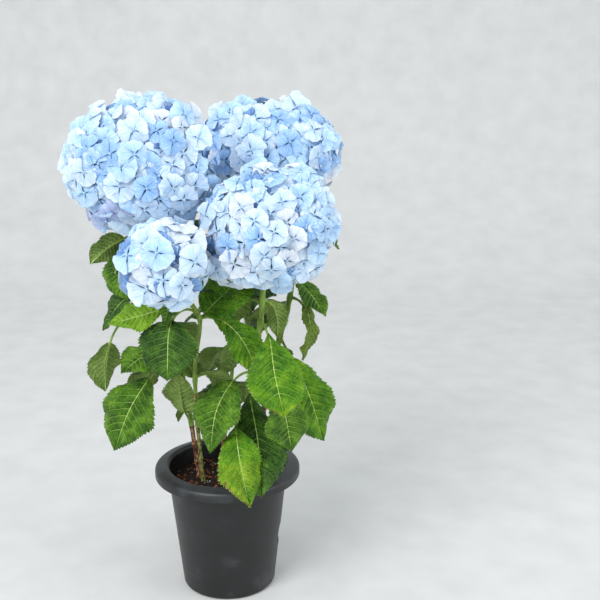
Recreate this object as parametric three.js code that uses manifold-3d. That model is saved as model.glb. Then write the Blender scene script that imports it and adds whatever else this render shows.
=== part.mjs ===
// A mophead hydrangea in its plastic nursery pot: the pot, the potting soil, five canes, the leafy shoots
// that grow on from them, and four blooms. Units are millimetres and +Z is up. The origin is the middle of
// the pot's flat underside, and -Y is the plant's front.
import * as THREE from "three";
import { mergeVertices } from "three/addons/utils/BufferGeometryUtils.js";
import Module from "manifold-3d";

const wasm = await Module();
wasm.setup();

// The clear distance between pieces that touch
const GAP = 0.3;

// Pot: a tapered shell with a broad rolled rim that turns down into a skirt
const POT = {
  height: 160,
  rimRadius: 90,
  neckRadius: 74.5,
  baseRadius: 58,
  footRound: 5,
  wall: 2,
  floor: 3,
  skirtDrop: 14,
  flangeDrop: 7,
  edgeRound: 5,
  segments: 32,
  curvePoints: 3,
};
const DRAIN = { count: 6, radius: 4.5, circle: 36, sides: 8 };
const VENT = {
  turn: 7,
  reach: 20,
  low: 53,
  high: 80,
  depth: 3.2,
  ease: 0.5,
  slot: 3,
  slotWidth: 26,
  columns: 8,
  levels: 4,
};

// Soil: fills the pot to just under its mouth, flat where the canes stand and crumbly towards the wall
const SOIL = { top: 138, bumps: 5, flatRadius: 47, seed: 7 };

// Canes, and the green stems that grow on from them
const CANE = { flare: 4, flareRise: 10, foot: 2.8, tip: 3.1, sides: 8, steps: 4 };
const STEM = { foot: 3.2, tip: 2.9, sides: 6, steps: 8 };

// Leaves: an ovate blade on an arching stalk
const LEAF = {
  thickness: 1.8,
  fold: 0.14,
  rows: [0.05, 0.18, 0.36, 0.56, 0.76, 0.9],
  tip: 0.4,
  stalkFoot: 1.7,
  stalkTip: 1.3,
  stalkSteps: 3,
  walkSteps: 24,
};

// Blooms: a smaller core, and four-petalled florets that stand out of it on short stalks
const BLOOM = {
  core: 0.66,
  coreDetail: 2,
  spread: 132,
  lump: 0.035,
  bulgeEdge: 5,
  dome: 4,
  depth: 3,
  stalk: 2,
  sunk: 8,
  tilt: 0.08,
  stagger: 6,
  neck: 3,
  neckRise: 0.67,
  pressed: 9,
};

// One leaf, by the height of its joint on the stem, the way it points (0 is +X and 90 is the back), its stalk
// and blade lengths, the slope it starts and ends with, how far it rolls about its midrib, its width share,
// where along it the blade is widest, and how far it sways round by its tip
const leaf = (height, turn, stalk, length, rise, fall, roll = 0, width = 0.66, widest = 0.45, sway = 0) => ({
  height, turn, stalk, length, rise, fall, roll, width, widest, sway,
});

// Each shoot follows one curve from the soil up, and on to the middle of its bloom. Below `bare` it is the
// woody cane, and above it the leafy stem, which stops at `end`. Its girth is its share of the full thickness.
// A bloom's size is its half width, half depth and half height, and it bulges or dips by some shares of that in
// some directions.
const SHOOTS = [
  {
    name: "left",
    girth: 0.9,
    path: [[-36, 4, SOIL.top], [-49, 8, 240], [-66, 0, 350], [-83, -15, 452]],
    bare: 205,
    end: 462,
    bloom: { centre: [-96, -20, 530], size: [88, 82, 83], florets: 31, floret: 28, seed: 11 },
    bulges: [
      { way: [0.76, -0.15, 0.63], by: 0.13 },
      { way: [0.8, -0.15, -0.58], by: 0.1 },
      { way: [-0.6, -0.1, 0.79], by: -0.08 },
      { way: [-0.74, -0.1, -0.66], by: -0.14 },
    ],
    leaves: [
      leaf(449, -165, 32, 50, 20, -45, 50, 0.8),
      leaf(449, -158, 26, 42, 14, -72, 30, 0.6),
      leaf(444, 17, 21, 48, 32, 5, 0, 0.7, 0.45, 9),
      leaf(438, 95, 16, 70, 25, -50),
      leaf(434, -160, 44, 52, 40, -110, -50, 0.84),
      leaf(408, 128, 18, 74, 20, -55),
      leaf(381, -170, 41, 56, 25, -62, -25, 0.78),
      leaf(357, -165, 91, 62, 24, -90, 45, 0.85, 0.45, -8),
      leaf(330, 92, 24, 84, 15, -60),
      leaf(312, -143, 20, 60, 5, -28, -10, 0.9),
      leaf(300, -145, 47, 96, -20, -66, -20, 0.8, 0.52),
      leaf(280, 140, 30, 86, 20, -65),
      leaf(208, -112, 20, 62, 50, 78, 0, 0.74),
    ],
  },
  {
    name: "front",
    girth: 0.8,
    path: [[-30, -8, SOIL.top], [-34, -26, 230], [-33, -38, 300], [-26, -42, 357], [-38, -66, 388]],
    bare: 262,
    end: 396,
    bloom: { centre: [-57, -108, 439], size: [49, 47, 51], florets: 16, floret: 25, seed: 23 },
    bulges: [{ way: [-0.8, -0.2, -0.57], by: -0.1 }],
    leaves: [
      leaf(388, -150, 10, 42, 30, -94, 0, 0.86),
      leaf(378, -167, 35, 61, -4, -14, -35, 0.68),
      leaf(384, 75, 16, 60, 20, -20),
      leaf(356, 18, 8, 80, 48, 41, 30, 1, 0.45, 4),
      leaf(357, -138, 53, 71, 63, -97, 0, 1.02, 0.45, 49),
      leaf(358, -18, 17, 92, 16, -73, 40, 0.44, 0.56),
      leaf(278, 120, 4, 30, 60, 20, 0, 1),
      leaf(284, 20, 4, 46, 30, -50, -30, 0.8),
    ],
  },
  {
    name: "right",
    girth: 1.1,
    path: [[16, 2, SOIL.top], [26, -12, 238], [33, -20, 284], [44, -30, 350], [49, -36, 400]],
    bare: 218,
    end: 408,
    bloom: { centre: [60, -58, 468], size: [78, 70, 74], florets: 28, floret: 27, seed: 37 },
    bulges: [{ way: [-0.83, -0.2, -0.5], by: 0.16 }, { way: [0.72, -0.1, -0.69], by: -0.08 }],
    leaves: [
      leaf(378, 42, 8, 54, -14, -94, -40, 0.5, 0.45, 4),
      leaf(376, 95, 8, 56, 14, -26),
      leaf(372, 149, 17, 58, 29, -74, 0, 0.95, 0.45, -8),
      leaf(352, -72, 32, 102, -4, -66, 0, 0.66, 0.66),
      leaf(332, 150, 20, 66, -5, -75),
      leaf(284, -127, 36, 91, 19, -77, 0, 0.7, 0.45, 5),
      leaf(288, -41, 53, 67, 1, -82, 0, 0.95, 0.45, -9),
      leaf(262, -83, 7, 127, -35, -66, 0, 0.5, 0.62, 13),
      leaf(226, -112, 61, 97, 41, -76, 0, 0.58, 0.56, 72),
    ],
  },
  {
    name: "rear",
    girth: 1.1,
    path: [[28, 20, SOIL.top], [47, 15, 230], [65, 13, 314], [80, 16, 380], [76, 52, 436]],
    bare: 236,
    end: 476,
    bloom: { centre: [55, 100, 534], size: [90, 76, 67], florets: 31, floret: 28, seed: 53 },
    bulges: [{ way: [-0.72, -0.1, 0.68], by: 0.08 }, { way: [0.72, -0.1, 0.68], by: 0.06 }],
    leaves: [
      leaf(446, 30, 16, 74, 20, -50),
      leaf(446, 160, 16, 70, 15, -50),
      leaf(418, 100, 16, 80, 5, -60),
      leaf(388, -43, 10, 58, 0, -50, 0, 0.6),
      leaf(368, -37, 22, 76, 5, -118, 0, 0.42),
      leaf(350, -168, 16, 66, 8, -78, 0, 0.85),
      leaf(352, 118, 20, 84, 15, -60),
      leaf(318, -58, 30, 112, -34, -76, 35, 0.56, 0.6, 66),
      leaf(296, 96, 24, 90, 10, -65),
      leaf(256, 88, 26, 84, 20, -55),
    ],
  },
  {
    name: "low",
    girth: 0.8,
    path: [[-13, 21, SOIL.top], [0, 52, 220], [6, 68, 300], [8, 78, 350]],
    bare: 200,
    end: 344,
    leaves: [
      leaf(340, -35, 4, 62, 40, 10, 40, 0.7),
      leaf(336, 165, 14, 66, 30, -45),
      leaf(336, 110, 12, 60, 50, 0),
      leaf(278, 120, 22, 84, 20, -60),
      leaf(232, 95, 24, 88, 20, -65),
      leaf(232, 160, 22, 78, 15, -60),
    ],
  },
];

const MATERIALS = {
  pot: { color: 0x3c3f43, roughness: 0.45 },
  soil: { color: 0x3a281c, roughness: 0.95 },
  cane: { color: 0x8a6a48, roughness: 0.8 },
  shoot: { color: 0x4f8a33, roughness: 0.5 },
  bloom: { color: 0xb7cdf2, roughness: 0.6 },
};

const radians = THREE.MathUtils.degToRad;
const vector = (point) => new THREE.Vector3(...point);

// A seeded random number from 0 to 1 on each call
function randomFrom(seed) {
  let state = seed * 7919 + 17;
  return () => {
    state = (state * 48271) % 2147483647;
    return state / 2147483647;
  };
}

// A closed three.js geometry as a solid that can be joined and cut
function solidOf(geometry) {
  geometry.deleteAttribute("normal");
  geometry.deleteAttribute("uv");
  const merged = mergeVertices(geometry, 1e-4);
  const index = merged.index.array;
  const kept = [];
  for (let i = 0; i < index.length; i += 3) {
    const [a, b, c] = index.slice(i, i + 3);
    if (a !== b && b !== c && c !== a) kept.push(a, b, c);
  }
  const vertProperties = new Float32Array(merged.attributes.position.array);
  return new wasm.Manifold(new wasm.Mesh({ numProp: 3, vertProperties, triVerts: new Uint32Array(kept) }));
}

// A solid from its corner points and the triangles between them
function solidFrom(points, faces) {
  return solidOf(new THREE.BufferGeometry().setFromPoints(points).setIndex(faces.flat()));
}

// A named mesh of the plant, from a finished solid
function piece(name, solid, look) {
  const made = solid.getMesh();
  const geometry = new THREE.BufferGeometry();
  geometry.setAttribute("position", new THREE.BufferAttribute(new Float32Array(made.vertProperties), 3));
  geometry.setIndex(new THREE.BufferAttribute(new Uint32Array(made.triVerts), 1));
  geometry.computeVertexNormals();
  const mesh = new THREE.Mesh(geometry, new THREE.MeshStandardMaterial({ ...MATERIALS[look], metalness: 0 }));
  mesh.name = name;
  return mesh;
}

// Joins rings of equal count into one closed solid with flat ends. Rings run anticlockwise seen from the last.
function loft(rings) {
  const count = rings[0].length;
  const faces = [];
  for (let r = 0; r + 1 < rings.length; r++)
    for (let i = 0; i < count; i++) {
      const j = (i + 1) % count;
      const [a, b, c, d] = [r * count + i, r * count + j, (r + 1) * count + i, (r + 1) * count + j];
      faces.push([a, b, d], [a, d, c]);
    }
  const last = (rings.length - 1) * count;
  for (let i = 1; i + 1 < count; i++) faces.push([0, i + 1, i], [last, last + i, last + i + 1]);
  return solidFrom(rings.flat(), faces);
}

// A ring of points round a centre, square to a direction, that starts on a given side
function ringAt(centre, along, start, radius, sides) {
  const side = start.clone().addScaledVector(along, -start.dot(along)).normalize();
  const other = along.clone().cross(side);
  return Array.from({ length: sides }, (_, i) => {
    const angle = (2 * Math.PI * i) / sides;
    const point = centre.clone().addScaledVector(side, radius * Math.cos(angle));
    return point.addScaledVector(other, radius * Math.sin(angle));
  });
}

// A level ring about the pot's axis, whose height may change from point to point
function levelRing(radius, heightOf) {
  return Array.from({ length: POT.segments }, (_, i) => {
    const angle = (2 * Math.PI * i) / POT.segments;
    return new THREE.Vector3(radius * Math.cos(angle), radius * Math.sin(angle), heightOf());
  });
}

// The share of a curve at which it reaches a height, as every shoot only rises
function shareAt(curve, height) {
  let [low, high] = [0, 1];
  for (let i = 0; i < 30; i++) {
    const middle = (low + high) / 2;
    if (curve.getPoint(middle).z < height) low = middle;
    else high = middle;
  }
  return low;
}

// A limb along a curve between two heights, with a level cut at its foot where it stands on something
function limb(curve, from, to, radiusAt, { sides, steps, level = false }) {
  const [start, end] = [shareAt(curve, from), shareAt(curve, to)];
  const rings = Array.from({ length: steps + 1 }, (_, i) => {
    const share = start + ((end - start) * i) / steps;
    const along = level && i === 0 ? new THREE.Vector3(0, 0, 1) : curve.getTangent(share);
    return ringAt(curve.getPoint(share), along, new THREE.Vector3(1, 0, 0), radiusAt(i / steps), sides);
  });
  return loft(rings);
}

// The path of a leaf from its stem: it starts at its rise, bends most at first, and ends at its fall
function leafWalk(root, { turn, stalk, length, rise, fall, roll, sway }) {
  const step = (stalk + length) / LEAF.walkSteps;
  const headingAt = (share) => {
    const angle = radians(turn + sway * share);
    return new THREE.Vector3(Math.cos(angle), Math.sin(angle), 0);
  };
  const point = root.clone();
  const stations = [];
  for (let i = 0; i <= LEAF.walkSteps; i++) {
    const left = 1 - i / LEAF.walkSteps;
    const slope = radians(rise + (fall - rise) * (1 - left * left));
    const along = headingAt(1 - left).multiplyScalar(Math.cos(slope)).setZ(Math.sin(slope));
    stations.push({ point: point.clone(), along });
    point.addScaledVector(along, step);
  }
  return (distance) => {
    const place = Math.min(distance / step, LEAF.walkSteps - 1e-6);
    const [a, b] = [stations[Math.floor(place)], stations[Math.floor(place) + 1]];
    const along = a.along.clone().lerp(b.along, place % 1).normalize();
    const heading = headingAt(place / LEAF.walkSteps);
    const side = new THREE.Vector3(-heading.y, heading.x, 0).applyAxisAngle(along, radians(roll));
    return { point: a.point.clone().lerp(b.point, place % 1), along, side, up: along.clone().cross(side) };
  };
}

// The blade's half width along it, as a share of its widest: a rounded base and a short drawn-out tip
function bladeShape(t, widest) {
  const warped = t ** (Math.log(0.5) / Math.log(widest));
  return Math.sin(Math.PI * warped) ** (0.6 + 0.5 * t ** 3);
}

// A leaf as one loft of four-cornered rings: slim and square along its stalk, then wide and thin along its
// blade, whose two halves rise from the midrib. Its root is in the middle of the stem.
function leafSolid(walk, { stalk, length, width, widest }) {
  const cross = (distance, reach, lift, thickness) => {
    const { point, side, up } = walk(distance);
    const edge = (sign) => point.clone().addScaledVector(side, sign * reach).addScaledVector(up, lift);
    const middle = (sign) => point.clone().addScaledVector(up, (sign * thickness) / 2);
    return [edge(1), middle(1), edge(-1), middle(-1)];
  };
  const stalkRings = Array.from({ length: LEAF.stalkSteps + 1 }, (_, i) => {
    const share = i / LEAF.stalkSteps;
    const radius = THREE.MathUtils.lerp(LEAF.stalkFoot, LEAF.stalkTip, share);
    return cross(stalk * share, radius, 0, 2 * radius);
  });
  const bladeRings = LEAF.rows.map((t) => {
    const reach = ((length * width) / 2) * bladeShape(t, widest);
    return cross(stalk + length * t, reach, LEAF.fold * reach, LEAF.thickness);
  });
  const tip = cross(stalk + length, LEAF.tip, 0, 2 * LEAF.tip);
  return loft([...stalkRings, ...bladeRings, tip]);
}

// The pot's half section, from the middle of its underside round to the middle of its floor
function potProfile() {
  const flange = POT.height - POT.flangeDrop;
  const shoulder = POT.height - POT.wall;
  const outline = new THREE.Path();
  outline.moveTo(0, 0);
  outline.lineTo(POT.baseRadius - POT.footRound, 0);
  outline.quadraticCurveTo(POT.baseRadius, 0, POT.baseRadius, POT.footRound);
  outline.lineTo(POT.neckRadius, flange);
  outline.lineTo(POT.rimRadius - POT.wall, flange - POT.wall);
  outline.lineTo(POT.rimRadius - POT.wall, POT.height - POT.skirtDrop);
  outline.lineTo(POT.rimRadius, POT.height - POT.skirtDrop);
  outline.lineTo(POT.rimRadius, shoulder - POT.edgeRound);
  outline.quadraticCurveTo(POT.rimRadius, shoulder, POT.rimRadius - POT.edgeRound, shoulder);
  outline.lineTo(POT.neckRadius + POT.wall, POT.height);
  outline.quadraticCurveTo(POT.neckRadius - POT.wall, POT.height, POT.neckRadius - POT.wall, flange);
  outline.lineTo(POT.baseRadius - POT.wall, POT.floor);
  outline.lineTo(0, POT.floor);
  return outline.getPoints(POT.curvePoints);
}

// The pot wall's outer radius at a height
const wallRadius = (z) =>
  THREE.MathUtils.mapLinear(z, POT.footRound, POT.height - POT.flangeDrop, POT.baseRadius, POT.neckRadius);

// A body over the vent, between two offsets from the wall's outer radius. The inner one is pressed in, most of
// all at the vent's foot, and eases outwards at the vent's sides and top, so that no two faces coincide.
function ventBody(inner, outer, low) {
  const rings = Array.from({ length: VENT.levels + 1 }, (_, level) => {
    const share = level / VENT.levels;
    const z = THREE.MathUtils.lerp(low, VENT.high, share);
    const arc = (offset, press) =>
      Array.from({ length: VENT.columns + 1 }, (_, column) => {
        const across = (2 * column) / VENT.columns - 1;
        const angle = radians(VENT.turn + VENT.reach * across);
        const radius = wallRadius(z) + offset - press * (1 - share) * (1 - across ** 4);
        return new THREE.Vector3(radius * Math.cos(angle), radius * Math.sin(angle), z);
      });
    return [...arc(outer, 0), ...arc(inner + VENT.ease, VENT.depth + VENT.ease).reverse()];
  });
  return loft(rings);
}

function pot() {
  let body = solidOf(new THREE.LatheGeometry(potProfile(), POT.segments).rotateX(Math.PI / 2));
  body = body.add(ventBody(-POT.wall, -POT.wall / 3, VENT.low - POT.wall));
  body = body.subtract(ventBody(0, POT.wall, VENT.low));
  const slot = new THREE.BoxGeometry(4 * POT.wall, VENT.slotWidth, VENT.slot);
  slot.translate(wallRadius(VENT.low) - VENT.depth, 0, VENT.low + VENT.slot / 2).rotateZ(radians(VENT.turn));
  body = body.subtract(solidOf(slot));
  for (let i = 0; i < DRAIN.count; i++) {
    const hole = new THREE.CylinderGeometry(DRAIN.radius, DRAIN.radius, 3 * POT.floor, DRAIN.sides);
    hole.rotateX(Math.PI / 2).translate(DRAIN.circle, 0, POT.floor / 2).rotateZ((2 * Math.PI * i) / DRAIN.count);
    body = body.subtract(solidOf(hole));
  }
  return piece("pot", body, "pot");
}

// The soil keeps clear of the pot all round, and of the vent pressed into it
function soil() {
  const random = randomFrom(SOIL.seed);
  const inset = -POT.wall - 2 * GAP;
  const crumbs = () => SOIL.top - SOIL.bumps * random();
  const edge = wallRadius(SOIL.top) + inset;
  const body = loft([
    levelRing(wallRadius(POT.footRound) + inset, () => POT.floor + GAP),
    levelRing(edge, crumbs),
    levelRing((edge + SOIL.flatRadius) / 2, crumbs),
    levelRing(SOIL.flatRadius, () => SOIL.top),
  ]);
  return piece("soil", body.subtract(ventBody(inset, 0, VENT.low - POT.wall - GAP)), "soil");
}

// A cane, from its level foot on the soil to where its leafy stem starts
function cane(shoot, curve) {
  const length = shoot.bare - SOIL.top;
  const radiusAt = (share) => {
    const flare = Math.max(0, 1 - (share * length) / CANE.flareRise) ** 2;
    return shoot.girth * (THREE.MathUtils.lerp(CANE.foot, CANE.tip, share) + (CANE.flare - CANE.foot) * flare);
  };
  const body = limb(curve, SOIL.top + GAP, shoot.bare - GAP / 2, radiusAt, { ...CANE, level: true });
  return piece("cane_" + shoot.name, body, "cane");
}

// A leafy shoot: the green stem with its leaves and their stalks fused on
function leafyShoot(shoot, curve) {
  const radiusAt = (share) => shoot.girth * THREE.MathUtils.lerp(STEM.foot, STEM.tip, share);
  let body = limb(curve, shoot.bare + GAP / 2, shoot.end, radiusAt, STEM);
  for (const one of shoot.leaves) {
    const walk = leafWalk(curve.getPoint(shareAt(curve, one.height)), one);
    body = body.add(leafSolid(walk, one));
  }
  return piece("shoot_" + shoot.name, body, "shoot");
}

// Turns the +Z axis to a direction
const turnTo = (direction) => new THREE.Quaternion().setFromUnitVectors(new THREE.Vector3(0, 0, 1), direction);

// One floret's outline, in polar form: two corners to each petal and a notch between petals
const PETAL_CORNERS = [
  { angle: -45, reach: 0.55, lift: 0 },
  { angle: -21, reach: 1, lift: 1.5 },
  { angle: 21, reach: 1, lift: 1.5 },
];

// One floret: a thin domed plate of four petals, whose underside runs into a three-sided stalk
function floret(place, outward, spin, radius, stalkLength) {
  const corner = (angle, reach, height) =>
    new THREE.Vector3(reach * Math.cos(angle), reach * Math.sin(angle), height);
  const points = [];
  for (let petal = 0; petal < 4; petal++)
    for (const { angle, reach, lift } of PETAL_CORNERS)
      points.push(corner(spin + radians(90 * petal + angle), radius * reach, lift - BLOOM.dome));
  const rim = points.length;
  points.push(new THREE.Vector3());
  for (const depth of [BLOOM.dome + BLOOM.depth, stalkLength])
    for (let side = 0; side < 3; side++) points.push(corner(spin + radians(120 * side), BLOOM.stalk, -depth));
  const neck = rim + 1;
  const faces = [[neck + 3, neck + 5, neck + 4]];
  for (let i = 0; i < rim; i++) {
    const j = (i + 1) % rim;
    const side = Math.floor(i / 4);
    faces.push([i, j, rim], [j, i, neck + side]);
    if (j % 4 === 0) faces.push([neck + side, neck + ((side + 1) % 3), j]);
  }
  for (let side = 0; side < 3; side++) {
    const [a, b] = [neck + side, neck + ((side + 1) % 3)];
    faces.push([a + 3, b + 3, b], [a + 3, b, a]);
  }
  const turn = turnTo(outward);
  return solidFrom(points.map((point) => point.applyQuaternion(turn).add(place)), faces);
}

// How far out a point lies on a bloom, where 1 is its surface
function reachIn({ centre, size }, point, margin) {
  return Math.hypot(...centre.map((middle, i) => (point.getComponent(i) - middle) / (size[i] + margin)));
}

// How much longer than its size a bloom is in a direction, as it is a little lumpy and bulges and dips in places
function swellOf({ bloom: { seed }, bulges }, direction) {
  const lump = 1 + BLOOM.lump * Math.sin(5 * direction.x + seed) * Math.cos(4 * direction.y - seed);
  const bulge = ({ way, by }) => by * Math.max(0, direction.dot(vector(way).normalize())) ** BLOOM.bulgeEdge;
  return bulges.reduce((sum, one) => sum + bulge(one), lump);
}

// A bloom: florets spread evenly round its axis, but for its underside and where a neighbour presses on it
function bloom(shoot, curve) {
  const one = shoot.bloom;
  const random = randomFrom(one.seed);
  const [centre, size] = [vector(one.centre), vector(one.size)];
  const axis = centre.clone().sub(curve.getPoint(shareAt(curve, shoot.end))).normalize();
  const core = new THREE.IcosahedronGeometry(BLOOM.core, BLOOM.coreDetail);
  core.scale(...one.size).translate(...one.centre);
  const neckTop = THREE.MathUtils.lerp(centre.z - size.z, centre.z, BLOOM.neckRise);
  const neck = limb(curve, shoot.end + GAP, neckTop, () => BLOOM.neck, { sides: STEM.sides, steps: 2 });
  let body = solidOf(core).add(neck);
  const low = Math.cos(radians(BLOOM.spread));
  const golden = Math.PI * (3 - Math.sqrt(5));
  for (let i = 0; i < one.florets; i++) {
    const rise = 1 - ((1 - low) * (i + 0.5)) / one.florets;
    const round = Math.sqrt(1 - rise * rise);
    const angle = i * golden + one.seed;
    const way = new THREE.Vector3(round * Math.cos(angle), round * Math.sin(angle), rise);
    way.applyQuaternion(turnTo(axis));
    const reach = way.clone().multiply(size);
    const place = reach.clone().multiplyScalar(swellOf(shoot, way)).add(centre);
    const outward = way.clone().divide(size).normalize();
    place.addScaledVector(outward, -BLOOM.stagger * random());
    const jitter = new THREE.Vector3(random() - 0.5, random() - 0.5, random() - 0.5);
    outward.addScaledVector(jitter, 2 * BLOOM.tilt).normalize();
    const spin = random() * Math.PI;
    const pressed = ({ bloom: other }) => other && other !== one && reachIn(other, place, BLOOM.pressed) < 1;
    if (SHOOTS.some(pressed)) continue;
    const stalkLength = place.distanceTo(centre) - BLOOM.core * reach.length() + BLOOM.sunk;
    body = body.add(floret(place, outward, spin, one.floret, stalkLength));
  }
  return piece("bloom_" + shoot.name, body, "bloom");
}

const plant = new THREE.Group();
plant.add(pot(), soil());
for (const shoot of SHOOTS) {
  const path = shoot.bloom ? [...shoot.path, shoot.bloom.centre] : shoot.path;
  const curve = new THREE.CatmullRomCurve3(path.map(vector));
  plant.add(cane(shoot, curve), leafyShoot(shoot, curve));
  if (shoot.bloom) plant.add(bloom(shoot, curve));
}

export default plant;
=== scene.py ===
import itertools
import math

import bpy
import numpy as np
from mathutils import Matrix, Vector, noise


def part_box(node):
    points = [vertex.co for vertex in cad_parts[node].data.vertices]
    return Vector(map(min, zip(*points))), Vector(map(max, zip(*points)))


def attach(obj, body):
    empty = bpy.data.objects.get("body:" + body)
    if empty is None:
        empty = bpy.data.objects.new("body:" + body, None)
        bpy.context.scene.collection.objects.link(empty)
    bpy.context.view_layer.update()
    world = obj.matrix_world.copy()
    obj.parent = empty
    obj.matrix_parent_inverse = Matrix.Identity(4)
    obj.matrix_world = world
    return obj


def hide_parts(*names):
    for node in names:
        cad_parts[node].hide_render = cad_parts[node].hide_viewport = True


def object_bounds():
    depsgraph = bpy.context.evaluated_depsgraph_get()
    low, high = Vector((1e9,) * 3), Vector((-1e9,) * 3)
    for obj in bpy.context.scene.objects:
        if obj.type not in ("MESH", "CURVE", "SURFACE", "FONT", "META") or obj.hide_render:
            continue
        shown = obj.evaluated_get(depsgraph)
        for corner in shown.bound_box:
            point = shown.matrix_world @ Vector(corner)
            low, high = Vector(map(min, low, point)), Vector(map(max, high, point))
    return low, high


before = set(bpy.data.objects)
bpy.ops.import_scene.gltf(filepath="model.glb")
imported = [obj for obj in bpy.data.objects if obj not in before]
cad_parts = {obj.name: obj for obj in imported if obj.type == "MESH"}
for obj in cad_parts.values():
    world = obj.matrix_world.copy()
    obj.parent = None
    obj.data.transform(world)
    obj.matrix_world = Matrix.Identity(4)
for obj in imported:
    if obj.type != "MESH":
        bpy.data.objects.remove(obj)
cad_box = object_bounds()


# Pot: an injection-moulded polypropylene nursery pot. Its wall is 2 mm thick and tapers to the foot, and its
# broad rim is rolled over into a skirt. A vent is pressed into the wall over a ledge with a slot, and six
# holes drain it.
MM = 0.001
POT = {
    "height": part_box("pot")[1].z / MM,
    "rim_radius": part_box("pot")[1].x / MM,
    "neck_radius": 74.5, "base_radius": 58, "wall": 2, "floor": 3, "skirt_drop": 14, "flange_drop": 7,
    "foot_round": 5, "edge_round": 5, "neck_round": 4.5, "floor_round": 3, "lip_round": 0.9, "bevel": 2,
    "segments": 160, "crisp": 40,
}
DRAIN = {"count": 6, "radius": 4.5, "circle": 36, "sides": 32}
VENT = {"turn": 7, "reach": 20, "low": 53, "high": 80, "fade": 6, "depth": 3.2, "ledge": 0.4, "slot": 3,
        "slot_width": 26}


def linear(code):
    """An sRGB hex colour as a linear colour with its alpha."""
    parts = [int(code[i:i + 2], 16) / 255 for i in (1, 3, 5)]
    return [p / 12.92 if p <= 0.04045 else ((p + 0.055) / 1.055) ** 2.4 for p in parts] + [1.0]


def add_node(tree, kind, inputs=None, **settings):
    """Adds a node with its settings. Each input is a value, an output to link, or a node to link the first
    output of."""
    node = tree.nodes.new(kind)
    for name, value in settings.items():
        setattr(node, name, value)
    for key, value in (inputs or {}).items():
        if isinstance(value, bpy.types.Node):
            value = value.outputs[0]
        if isinstance(value, bpy.types.NodeSocket):
            tree.links.new(value, node.inputs[key])
        else:
            node.inputs[key].default_value = value
    return node


def new_material(name, **values):
    """A material whose shader has these values, with its node tree and its shader."""
    material = bpy.data.materials.new(name)
    material.use_nodes = True
    shader = material.node_tree.nodes["Principled BSDF"]
    for key, value in values.items():
        shader.inputs[key.replace("_", " ").title().replace("Ior", "IOR")].default_value = value
    return material, material.node_tree, shader


def grain(tree, size, detail, stretch=(1, 1, 1)):
    """Noise in lumps about this many millimetres across, and longer where an axis has a stretch under 1."""
    spot = add_node(tree, "ShaderNodeTexCoord")
    scaled = add_node(tree, "ShaderNodeMapping", {"Vector": spot.outputs["Object"], "Scale": stretch})
    lumps = {"Vector": scaled, "Scale": 1 / (size * MM), "Detail": detail}
    return add_node(tree, "ShaderNodeTexNoise", lumps)


def mottle(tree, shader, pattern, codes, spread):
    """Paints the shader's base colour from the colours given, spread evenly over the middle of a pattern."""
    ramp = add_node(tree, "ShaderNodeValToRGB", {"Fac": pattern})
    elements = ramp.color_ramp.elements
    elements[0].position = 0.5 - spread
    elements[1].position = 0.5 + spread
    for extra in range(1, len(codes) - 1):
        elements.new(0.5 - spread + 2 * spread * extra / (len(codes) - 1))
    for element, code in zip(elements, codes):
        element.color = linear(code)
    tree.links.new(ramp.outputs["Color"], shader.inputs["Base Color"])


def rough_up(tree, shader, pattern, depth):
    """Raises a pattern by this many millimetres on the shader's surface."""
    bump = add_node(tree, "ShaderNodeBump", {"Height": pattern, "Distance": depth * MM, "Strength": 1.0})
    tree.links.new(bump.outputs["Normal"], shader.inputs["Normal"])


def grained_material(name, codes, spread, patches, relief, depth, **values):
    """A material that is mottled by one grain and roughened by another, each given as its size and detail."""
    material, tree, shader = new_material(name, **values)
    mottle(tree, shader, grain(tree, *patches), codes, spread)
    rough_up(tree, shader, grain(tree, *relief), depth)
    return material


def in_scene(name, data):
    """An object of a mesh, light or camera, put in the scene."""
    thing = bpy.data.objects.new(name, data)
    bpy.context.scene.collection.objects.link(thing)
    return thing


def new_mesh(name, points, edges, faces):
    """A mesh from points in millimetres."""
    mesh = bpy.data.meshes.new(name)
    mesh.from_pydata((np.asarray(points, float) * MM).tolist(), edges, faces)
    return mesh


def mesh_piece(name, points, faces, materials, tints=None, crisp=None):
    """A smooth piece from points in millimetres, its faces, and the number of each face's material. Edges
    that turn by more than the crisp angle, in degrees, stay sharp."""
    mesh = new_mesh(name, points, [], faces)
    for material in materials:
        mesh.materials.append(material)
    if tints is not None:
        mesh.polygons.foreach_set("material_index", tints)
    mesh.shade_smooth()
    mesh.update()
    if crisp:
        mesh.set_sharp_from_angle(angle=math.radians(crisp))
    return in_scene(name, mesh)


def settle(piece):
    """Turns what a piece's modifiers make into its own plain mesh."""
    graph = bpy.context.evaluated_depsgraph_get()
    made = bpy.data.meshes.new_from_object(piece.evaluated_get(graph))
    piece.modifiers.clear()
    old = piece.data
    piece.data = made
    bpy.data.meshes.remove(old)
    made.name = piece.name


def turned(x, y, angle):
    """A flat point turned round the origin."""
    return x * math.cos(angle) - y * math.sin(angle), x * math.sin(angle) + y * math.cos(angle)


def arc(centre, radius, start, end, steps):
    """Points in a half section on a round corner, between two angles in degrees."""
    angles = np.radians(np.linspace(start, end, steps + 1))
    return [(centre[0] + radius * math.cos(a), centre[1] + radius * math.sin(a)) for a in angles]


def revolve(profile, segments):
    """Points and faces of a closed turned body, whose half section starts and ends on the axis."""
    turns = 2 * math.pi * np.arange(segments) / segments
    rings = [[(r * math.cos(a), r * math.sin(a), z) for a in turns] for r, z in profile[1:-1]]
    points = [(0, 0, profile[0][1])] + sum(rings, []) + [(0, 0, profile[-1][1])]
    top = len(points) - 1
    last = top - segments
    faces = []
    for i in range(segments):
        j = (i + 1) % segments
        faces.append((0, 1 + j, 1 + i))
        for low in range(1, last, segments):
            faces.append((low + i, low + j, low + segments + j, low + segments + i))
        faces.append((last + i, last + j, top))
    return np.array(points), faces


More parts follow.
